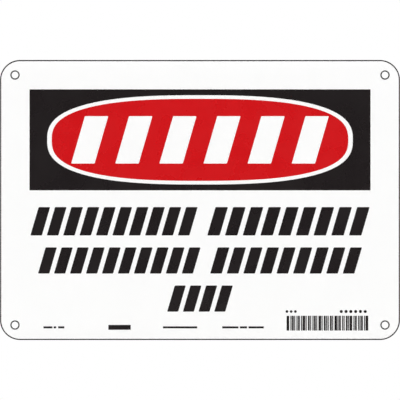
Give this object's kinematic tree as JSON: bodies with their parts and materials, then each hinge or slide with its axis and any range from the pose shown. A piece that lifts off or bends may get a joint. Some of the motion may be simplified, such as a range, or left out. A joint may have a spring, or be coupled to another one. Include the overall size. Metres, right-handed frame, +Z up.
{
  "type": "safety sign",
  "caption": "Flat rectangular safety sign on white plastic sheet, with rounded corners, a dark header panel with a striped red oval, dark stripes below it, and corner holes for wall screws.",
  "frame": {"origin": "centre of the back face, midway between the screw holes", "axes": "+X along the width to the reader's right, +Y from the printed front to the back face, +Z up along the height"},
  "size_m": [0.254, 0.0014, 0.1778],
  "materials": {
    "white_sheet": "satin, calendered plastic sheet",
    "black_ink": "satin, screen-printed ink",
    "red_ink": "satin, screen-printed ink"
  },
  "bodies": {
    "root": {"sign_plate": "white_sheet"}
  },
  "joints": []
}
